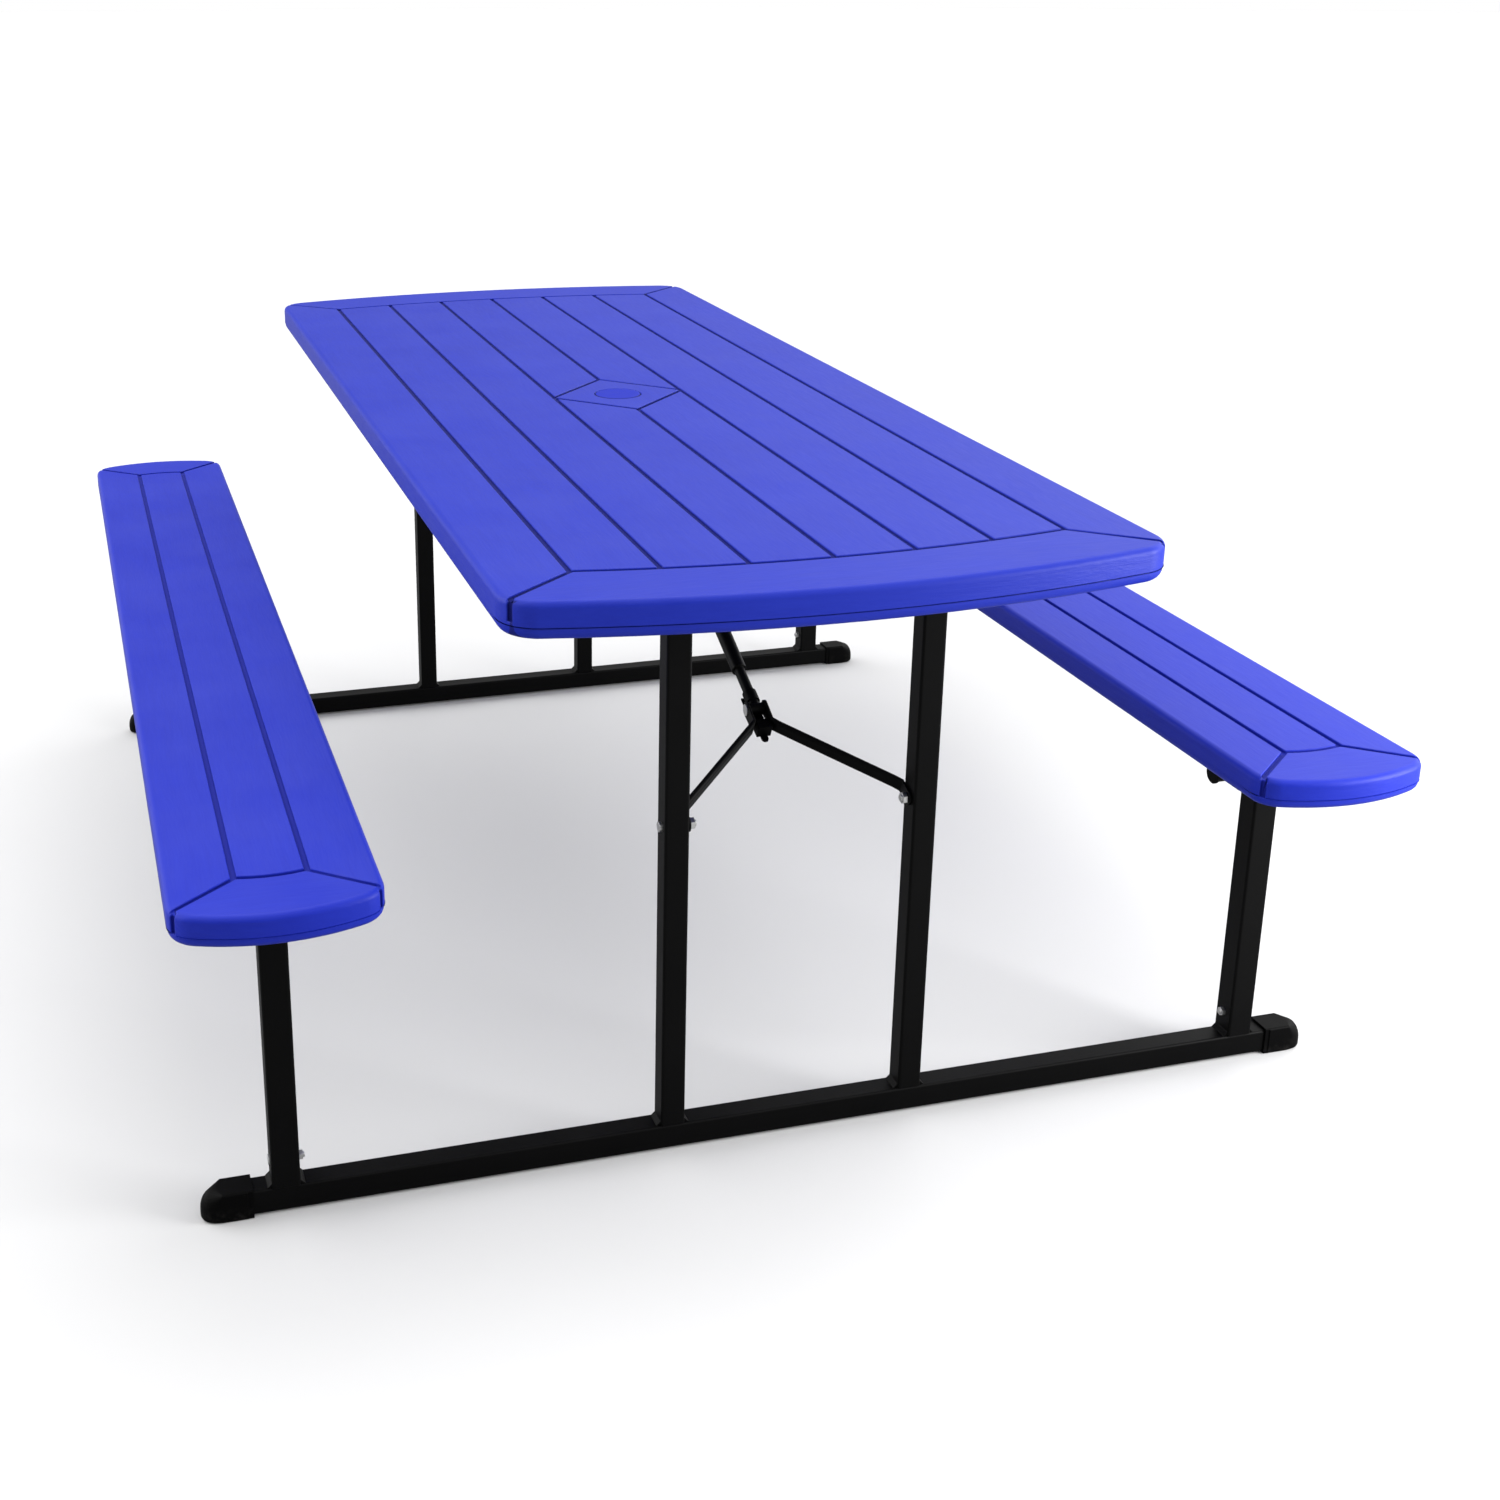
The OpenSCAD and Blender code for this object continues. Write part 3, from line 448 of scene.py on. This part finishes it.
def surface(work, constants, inputs):
    """The surface shader: constant values on its own sockets, effects linked."""
    shader = work.add("BsdfPrincipled", None, {**constants, **inputs})
    output = work.add("OutputMaterial")
    work.tree.links.new(shader.outputs[0], output.inputs[0])


def dust(work, place):
    return work.use(SETTLED_DUST, {"Vector": place, "Amount": DUST_AMOUNT})["Film"]


def moulded_plastic(name, tints, middle_x, width, length, top_z, bow, band, corner, plank, planks):
    """Blue blow-moulded plastic with grain laid along each plank and end band, and painted shade
    darkening its grooves.
    """
    half_width = width / 2
    outer = (planks / 2 - 1) * plank
    bow_centre = length / 2 - bow
    band_radius = bow - band
    foot = bow_centre + math.sqrt(band_radius ** 2 - outer ** 2)
    core_x = half_width - corner
    core_radius = bow - corner
    core_y = bow_centre + math.sqrt(core_radius ** 2 - core_x ** 2)
    turn = math.acos(core_x / core_radius) * CORNER_SHARE
    tip_x = core_x + corner * math.cos(turn)
    tip_y = core_y + corner * math.sin(turn)
    slope = (tip_y - foot) / (tip_x - outer)
    material, work = new_material(name)
    place = work.place((middle_x, 0.0, 0.0))
    grain = work.use(PLANK_GRAIN, {
        "Vector": place, "Plank": plank, "Shift": (planks % 2) / 2, "Bow Centre": bow_centre,
        "Band Radius": band_radius, "Outer": outer, "Mitre Foot": foot, "Mitre Slope": slope,
        "Mitre Shrink": 1.0 / math.hypot(1.0, slope), "Inner Half Width": half_width - CROWN,
        "Inner Radius": bow - CROWN, "Lip": top_z - SHADE_START, "Core X": core_x,
        "Core Y": core_y, "Corner": corner,
    })
    streaks, fine, groove = grain["Streaks"], grain["Fine"], grain["Groove Shade"]
    cloud = work.noise(place, scale=7.0, detail=3.0, roughness=0.6)
    pits = work.noise(place, scale=1400.0, detail=2.0, roughness=0.6)
    film = dust(work, place)
    shade = work.shares(work.times(cloud, 0.40), (streaks, 0.50), (grain["Tone"], 0.10))
    # Painted shade in the grooves: their colour is mixed towards a dark blue
    colour = work.layers(
        work.mix_colours(work.spread(shade, 0.25, 0.75), tints["deep"], tints["light"]),
        (film, BLUE_DUST), (work.times(groove, 0.80), tints["groove"]),
    )
    level = work.math("ABSOLUTE", work.face_up())
    relief = work.times(
        work.shares(work.times(streaks, 0.65), (fine, 0.35), (pits, 0.12)),
        work.spread(level, 0.2, 0.8, start=2.6, finish=1.0),
    )
    rough = work.shares(0.33, (fine, 0.16), (cloud, 0.08), (film, 1.2), (groove, 0.25))
    surface(work, {"IOR": 1.46, "Specular IOR Level": 0.20}, {
        "Base Color": colour, "Roughness": rough,
        "Normal": work.bump(relief, strength=0.42, distance=0.0006),
    })
    return material


def cap_plastic():
    """The cap's smoother and deeper blue, with fine turned rings and painted shade at its rim."""
    material, work = new_material("blue cap plastic")
    place = work.place()
    x, y = work.split(place)[:2]
    radius = work.reach(x, y)
    ring_path = work.join(work.times(radius, CAP_RINGS), 0.0, 0.0)
    rings = work.noise(ring_path, scale=1.0, detail=2.0, roughness=0.5)
    cloud = work.noise(place, scale=60.0, detail=3.0, roughness=0.6)
    edge = work.use(SOFT_EDGE, {"Radius": 0.0008})
    # Painted shade: a dark ring where the rounded rim meets the top
    rim = work.spread(radius, CAP_RADIUS - CAP_ROUND, CAP_RADIUS - CAP_ROUND / 2)
    colour = work.layers(
        work.mix_colours(cloud, CAP_DEEP, CAP_LIGHT), (work.times(rim, 0.9), CAP_RIM_SHADE)
    )
    relief = work.shares(work.times(cloud, 0.6), (rings, 0.4))
    surface(work, {"IOR": 1.46, "Specular IOR Level": 0.10}, {
        "Base Color": colour, "Roughness": work.shares(0.40, (cloud, 0.10)),
        "Normal": work.bump(relief, strength=0.25, distance=0.0004, normal=edge["Normal"]),
    })
    return material


def powder_coat():
    """Satin black coat on steel: orange peel, thin edges, a little dust."""
    material, work = new_material("black powder coat")
    place = work.place()
    peel = work.noise(place, scale=420.0, detail=2.0, roughness=0.5)
    cloud = work.noise(place, scale=11.0, detail=4.0, roughness=0.6)
    rub = work.noise(place, scale=38.0, detail=4.0, roughness=0.7)
    edge = work.use(SOFT_EDGE, {"Radius": 0.0016})
    worn = work.times(edge["Edge"], work.spread(rub, 0.40, 0.70))
    film = dust(work, place)
    colour = work.layers(
        work.mix_colours(cloud, COAT_DEEP, COAT_LIGHT),
        (work.times(worn, 0.30), COAT_WORN), (film, COAT_DUST),
    )
    rough = work.shares(0.38, (cloud, 0.14), (worn, -0.08), (film, 1.5))
    surface(work, {"IOR": 1.5, "Specular IOR Level": 0.075}, {
        "Base Color": colour, "Roughness": rough,
        "Normal": work.bump(peel, strength=0.22, distance=0.00035, normal=edge["Normal"]),
    })
    return material


def foot_plastic():
    """Soft black plastic with a fine eroded texture, scuffed towards the ground."""
    material, work = new_material("black foot plastic")
    place = work.place()
    skin = work.noise(place, scale=900.0, detail=3.0, roughness=0.6)
    cloud = work.noise(place, scale=26.0, detail=4.0, roughness=0.6)
    marks = work.noise(place, scale=120.0, detail=4.0, roughness=0.7)
    low = work.spread(work.split(place)[2], 0.020, 0.0)
    scuff = work.times(low, work.spread(marks, 0.48, 0.72))
    edge = work.use(SOFT_EDGE, {"Radius": 0.001})
    colour = work.layers(
        work.mix_colours(cloud, FOOT_DEEP, FOOT_LIGHT),
        (work.times(scuff, 0.35), FOOT_SCUFF), (dust(work, place), FOOT_DUST),
    )
    rough = work.shares(0.42, (cloud, 0.16), (scuff, 0.2))
    surface(work, {"IOR": 1.48, "Specular IOR Level": 0.055}, {
        "Base Color": colour, "Roughness": rough,
        "Normal": work.bump(skin, strength=0.30, distance=0.0003, normal=edge["Normal"]),
    })
    return material


def slide_plastic():
    """Waxy dark grey bearing plastic with fine sliding marks."""
    material, work = new_material("grey slide plastic")
    place = work.place()
    x, y, z = work.split(place)
    drag_path = work.join(
        work.times(x, DRAG_ACROSS), work.times(y, DRAG_ALONG), work.times(z, DRAG_ACROSS)
    )
    drag = work.noise(drag_path, scale=1.0, detail=3.0, roughness=0.6)
    cloud = work.noise(place, scale=30.0, detail=3.0, roughness=0.6)
    edge = work.use(SOFT_EDGE, {"Radius": 0.0008})
    colour = work.layers(
        work.mix_colours(cloud, SLIDE_DEEP, SLIDE_LIGHT),
        (work.times(edge["Edge"], 0.4), SLIDE_EDGE),
    )
    surface(work, {"IOR": 1.52}, {
        "Base Color": colour, "Roughness": work.shares(0.34, (drag, 0.18)),
        "Normal": work.bump(drag, strength=0.25, distance=0.0002, normal=edge["Normal"]),
    })
    return material


def bright_zinc():
    """Zinc plated steel with soft blotches and tool marks."""
    material, work = new_material("bright zinc")
    place = work.place()
    blotch = work.noise(place, scale=260.0, detail=4.0, roughness=0.65)
    marks = work.noise(place, scale=1500.0, detail=2.0, roughness=0.6)
    edge = work.use(SOFT_EDGE, {"Radius": 0.0006})
    colour = work.layers(
        work.mix_colours(blotch, ZINC_DEEP, ZINC_LIGHT),
        (work.times(edge["Edge"], 0.5), ZINC_EDGE),
    )
    surface(work, {}, {
        "Base Color": colour, "Roughness": work.shares(0.24, (blotch, 0.18)),
        "Metallic": work.spread(marks, 0.1, 0.5, start=0.94, finish=1.0),
        "Normal": work.bump(marks, strength=0.18, distance=0.0002, normal=edge["Normal"]),
    })
    return material


MOULDING_FINISH = {
    "tabletop": moulded_plastic(
        "blue plastic of the top", TABLE_TINTS, 0.0, TABLE_WIDTH, TABLE_LENGTH, TABLE_TOP_Z,
        TABLE_BOW, TABLE_BAND, TABLE_CORNER, TABLE_PLANK, TABLE_PLANKS,
    ),
}
for bench_side, bench_sign in SIDES:
    MOULDING_FINISH[bench_side + "_bench"] = moulded_plastic(
        f"blue plastic of the {bench_side} seat", BENCH_TINTS, bench_sign * BENCH_X, BENCH_WIDTH,
        BENCH_LENGTH, BENCH_TOP_Z, BENCH_BOW, BENCH_BAND, BENCH_CORNER, BENCH_PLANK, BENCH_PLANKS,
    )
SLOT_FINISH = {
    "cap_plastic": cap_plastic(),
    "frame_coat": powder_coat(),
    "foot_plastic": foot_plastic(),
    "slide_plastic": slide_plastic(),
    "zinc_bolts": bright_zinc(),
}


def dress_nodes():
    """Give every CAD node its finish. A moulding has its own, the rest one by slot."""
    for part in frame["record"]["subparts"]:
        node = part["node"]
        material = MOULDING_FINISH.get(node) or SLOT_FINISH[part["material_slot"]]
        for slot in NODES[node].material_slots:
            slot.material = material


# New pieces


def in_scene(name, data):
    """A new object for a mesh, lamp or camera, linked to the scene."""
    thing = bpy.data.objects.new(name, data)
    bpy.context.scene.collection.objects.link(thing)
    return thing


def new_piece(name, mesh_maker, material, body):
    """A piece from a bmesh, with its place in its mesh, riding on a body."""
    mesh = bpy.data.meshes.new(name)
    shape = bmesh.new()
    mesh_maker(shape)
    bmesh.ops.recalc_face_normals(shape, faces=shape.faces)
    shape.to_mesh(mesh)
    shape.free()
    piece = in_scene(name, mesh)
    mesh.materials.append(material)
    mesh.polygons.foreach_set("use_smooth", [True] * len(mesh.polygons))
    mesh.set_sharp_from_angle(angle=math.radians(SMOOTH_ANGLE))
    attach(piece, body)
    return piece


def round_edges(shape, edges, size, held_back):
    """Round edges by a size. Held back, the rounds of close edges don't overlap."""
    bmesh.ops.bevel(
        shape, geom=edges, offset=size, offset_type="OFFSET", segments=2, profile=0.5,
        affect="EDGES", clamp_overlap=held_back, material=-1,
    )


def cut_at_middle(shape, middle_x):
    """Cut a moulding across and along its middle, with seams that keep the cuts.

    A flat face that closes round a hole would be filled wrongly.
    """
    for normal in ((0.0, 1.0, 0.0), (1.0, 0.0, 0.0)):
        cut = bmesh.ops.bisect_plane(
            shape, geom=shape.verts[:] + shape.edges[:] + shape.faces[:], dist=CUT_GAP,
            plane_co=(middle_x, 0.0, 0.0), plane_no=normal,
        )["geom_cut"]
        for edge in cut:
            if isinstance(edge, bmesh.types.BMEdge):
                edge.seam = True


def lip_edges(shape):
    """The sharp edges whose two faces are both wider than the lip."""
    return [
        edge for edge in shape.edges
        if len(edge.link_faces) == 2
        and edge.calc_face_angle(0) > math.radians(SHARP_ANGLE)
        and min(face.calc_area() for face in edge.link_faces) > EDGE_LIP * edge.calc_length()
    ]


def softened_copy(node, body, middle_x):
    """A merged copy of a moulding whose edges have a small rounded lip."""
    source = NODES[node].data

    def shape_maker(shape):
        shape.from_mesh(source)
        bmesh.ops.remove_doubles(shape, verts=shape.verts, dist=MERGE_GAP)
        cut_at_middle(shape, middle_x)
        bmesh.ops.dissolve_limit(
            shape, angle_limit=math.radians(FLAT_ANGLE), verts=shape.verts, edges=shape.edges,
            delimit={"SEAM"},
        )
        round_edges(shape, lip_edges(shape), EDGE_LIP, False)

    piece = new_piece(node + "_moulding", shape_maker, MOULDING_FINISH[node], body)
    even = piece.modifiers.new("even_shading", "WEIGHTED_NORMAL")
    even.keep_sharp = True
    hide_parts(node)


def cap_profile():
    """Half of the cap's section, from the middle of its top round to the middle below."""
    under = TABLE_TOP_Z - CAP_DISC
    foot = under - CAP_SKIRT
    turns = [math.radians(90 * step / CAP_STEPS) for step in range(CAP_STEPS + 1)]
    rim = [
        (CAP_RADIUS - CAP_ROUND * (1 - math.sin(a)), TABLE_TOP_Z - CAP_ROUND * (1 - math.cos(a)))
        for a in turns
    ]
    return [
        (0.0, TABLE_TOP_Z), (CAP_RADIUS - 3 * CAP_ROUND, TABLE_TOP_Z), *rim,
        (CAP_RADIUS, under), (SKIRT_RADIUS, under), (SKIRT_RADIUS, foot + SKIRT_ROUND),
        (SKIRT_RADIUS - SKIRT_ROUND, foot), (SKIRT_RADIUS - CAP_WALL, foot),
        (SKIRT_RADIUS - CAP_WALL, under), (0.0, under),
    ]


def round_cap():
    """The umbrella hole's cap, turned from one profile, with a rounded rim."""

    def shape_maker(shape):
        dots = [shape.verts.new((r, 0.0, z)) for r, z in cap_profile()]
        edges = [shape.edges.new(pair) for pair in zip(dots, dots[1:])]
        bmesh.ops.spin(
            shape, geom=dots + edges, cent=(0.0, 0.0, 0.0), axis=(0.0, 0.0, 1.0),
            angle=math.tau, steps=CAP_SIDES, use_merge=True,
        )
        bmesh.ops.remove_doubles(shape, verts=shape.verts, dist=MERGE_GAP)

    material = SLOT_FINISH["cap_plastic"]
    piece = new_piece("cap_turning", shape_maker, material, "hole_cap")
    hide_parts("umbrella_cap")


def disc(shape, sides, radii, depth, place):
    """The corners of a disc with this many sides, a lower and an upper radius."""
    return bmesh.ops.create_cone(
        shape, cap_ends=True, segments=sides, radius1=radii[0], radius2=radii[1], depth=depth,
        matrix=Matrix.Translation(place),
    )["verts"]


def screw(shape, x, y, z):
    """A washer head screw with a hexagon on it, driven upwards at a point."""
    washer_place = (x, y, z - WASHER_DEPTH / 2)
    hexagon_place = (x, y, z - HEXAGON_MIDDLE)
    washer = disc(shape, WASHER_SIDES, WASHER_RADII, WASHER_DEPTH, washer_place)
    hexagon = disc(shape, HEXAGON_SIDES, HEXAGON_RADII, HEXAGON_DEPTH, hexagon_place)
    for corners, size in ((washer, WASHER_ROUND), (hexagon, HEXAGON_ROUND)):
        edges = {edge for corner in corners for edge in corner.link_edges}
        round_edges(shape, list(edges), size, True)


def screws(name, places, body):
    def shape_maker(shape):
        for place in places:
            screw(shape, *place)

    new_piece(name, shape_maker, SLOT_FINISH["zinc_bolts"], body)


def plate_screws():
    """Two screws in each bracket and anchor under the top, six in each seat guide."""
    plates = [(x, y) for x in (-HINGE_X, HINGE_X) for y in (-FRAME_Y, FRAME_Y)]
    plates += [(0.0, -ANCHOR_Y), (0.0, ANCHOR_Y)]
    places = [(x, y + step, PLATE_Z) for x, y in plates for step in (-PLATE_STEP, PLATE_STEP)]
    screws("bracket_screws", places, "top")
    rows = [end * y for end in (-1, 1) for y in GUIDE_ROWS]
    for side, sign in SIDES:
        middle = sign * GUIDE_X
        places = [(middle + step, y, GUIDE_Z) for y in rows for step in (-GUIDE_STEP, GUIDE_STEP)]
        screws(side + "_guide_screws", places, side + "_seat")


# Floor, light and camera


def studio_floor():
    """A wide pale floor that fades into the background and throws little light back."""
    mesh = bpy.data.meshes.new("studio_floor")
    shape = bmesh.new()
    bmesh.ops.create_circle(shape, cap_ends=True, segments=FLOOR_SIDES, radius=FLOOR_RADIUS)
    shape.to_mesh(mesh)
    shape.free()
    floor = in_scene("studio_floor", mesh)
    material, work = new_material("pale studio floor")
    patches = work.noise(work.place(), scale=1.2, detail=3.0, roughness=0.5)
    colour = work.mix_colours(patches, FLOOR_DEEP, FLOOR_LIGHT)
    seen = work.add("LightPath").outputs["Is Camera Ray"]
    colour = work.mix_colours(seen, FLOOR_FOR_LIGHT, colour)
    surface(work, {"Roughness": 0.9, "Specular IOR Level": 0.1}, {"Base Color": colour})
    mesh.materials.append(material)


def studio_lamps():
    """A wide soft sun from above and a key light from the right of the near end."""
    sun = bpy.data.lights.new("overhead_light", "SUN")
    sun.energy = SUN_POWER
    sun.angle = math.radians(SUN_SPREAD)
    key = bpy.data.lights.new("key_light", "AREA")
    key.energy = KEY_POWER
    key.size = KEY_SIZE
    for lamp, place, aim in ((sun, SUN_FROM, SUN_AIM), (key, KEY_FROM, KEY_AIM)):
        turn = (Vector(place) - Vector(aim)).to_track_quat("Z", "Y").to_matrix().to_4x4()
        in_scene(lamp.name, lamp).matrix_world = Matrix.Translation(place) @ turn


def studio_glow():
    """Glow of the room: bright overhead and at both sides, white where the camera looks."""
    world = bpy.data.worlds.new("pale_studio")
    world.use_nodes = True
    work = Tree(world.node_tree)
    x, y, z = work.split(work.add("TexCoord").outputs["Generated"])
    overhead = work.spread(z, SKY_START, SKY_FULL, SKY_LOW, SKY_HIGH)
    left = work.times(
        work.math("LESS_THAN", x, 0.0),
        work.spread(y, LEFT_START, LEFT_FULL, LEFT_DIM * LEFT_GLOW, LEFT_GLOW),
    )
    right = work.times(
        work.math("GREATER_THAN", x, 0.0),
        work.spread(y, RIGHT_START, RIGHT_FULL, RIGHT_DIM * RIGHT_GLOW, RIGHT_GLOW),
    )
    walls = work.times(work.times(x, x), work.plus(left, right))
    sky = work.plus(overhead, work.math("MINIMUM", walls, SIDE_LIMIT))
    seen = work.add("LightPath").outputs["Is Camera Ray"]
    values = {"Color": WHITE, "Strength": work.mix_values(seen, sky, 1.0)}
    background = work.add("Background", None, values)
    output = work.add("OutputWorld")
    work.tree.links.new(background.outputs[0], output.inputs[0])
    bpy.context.scene.world = world
    bpy.context.scene.view_settings.view_transform = "Standard"


def studio_camera():
    """The photograph's view: turned from +Y towards +X, dipped and slightly rolled."""
    turn, dip, roll = (math.radians(a) for a in (CAMERA_TURN, CAMERA_DIP, CAMERA_ROLL))
    level = Vector((math.cos(turn), -math.sin(turn), 0.0))
    ahead = Vector((
        math.sin(turn) * math.cos(dip), math.cos(turn) * math.cos(dip), -math.sin(dip)
    ))
    upright = level.cross(ahead)
    right = math.cos(roll) * level + math.sin(roll) * upright
    up = math.cos(roll) * upright - math.sin(roll) * level
    data = bpy.data.cameras.new("studio_camera")
    data.sensor_width = CAMERA_SENSOR
    data.lens = CAMERA_LENS
    data.shift_x = CAMERA_SHIFT_X
    data.shift_y = CAMERA_SHIFT_Y
    data.clip_end = CAMERA_REACH
    camera = in_scene("studio_camera", data)
    axes = Matrix((right, up, -ahead)).transposed().to_4x4()
    camera.matrix_world = Matrix.Translation(CAMERA_PLACE) @ axes
    bpy.context.scene.camera = camera


dress_nodes()
softened_copy("tabletop", "top", 0.0)
softened_copy("left_bench", "left_seat", -BENCH_X)
softened_copy("right_bench", "right_seat", BENCH_X)
round_cap()
plate_screws()
studio_floor()
studio_lamps()
studio_glow()
studio_camera()
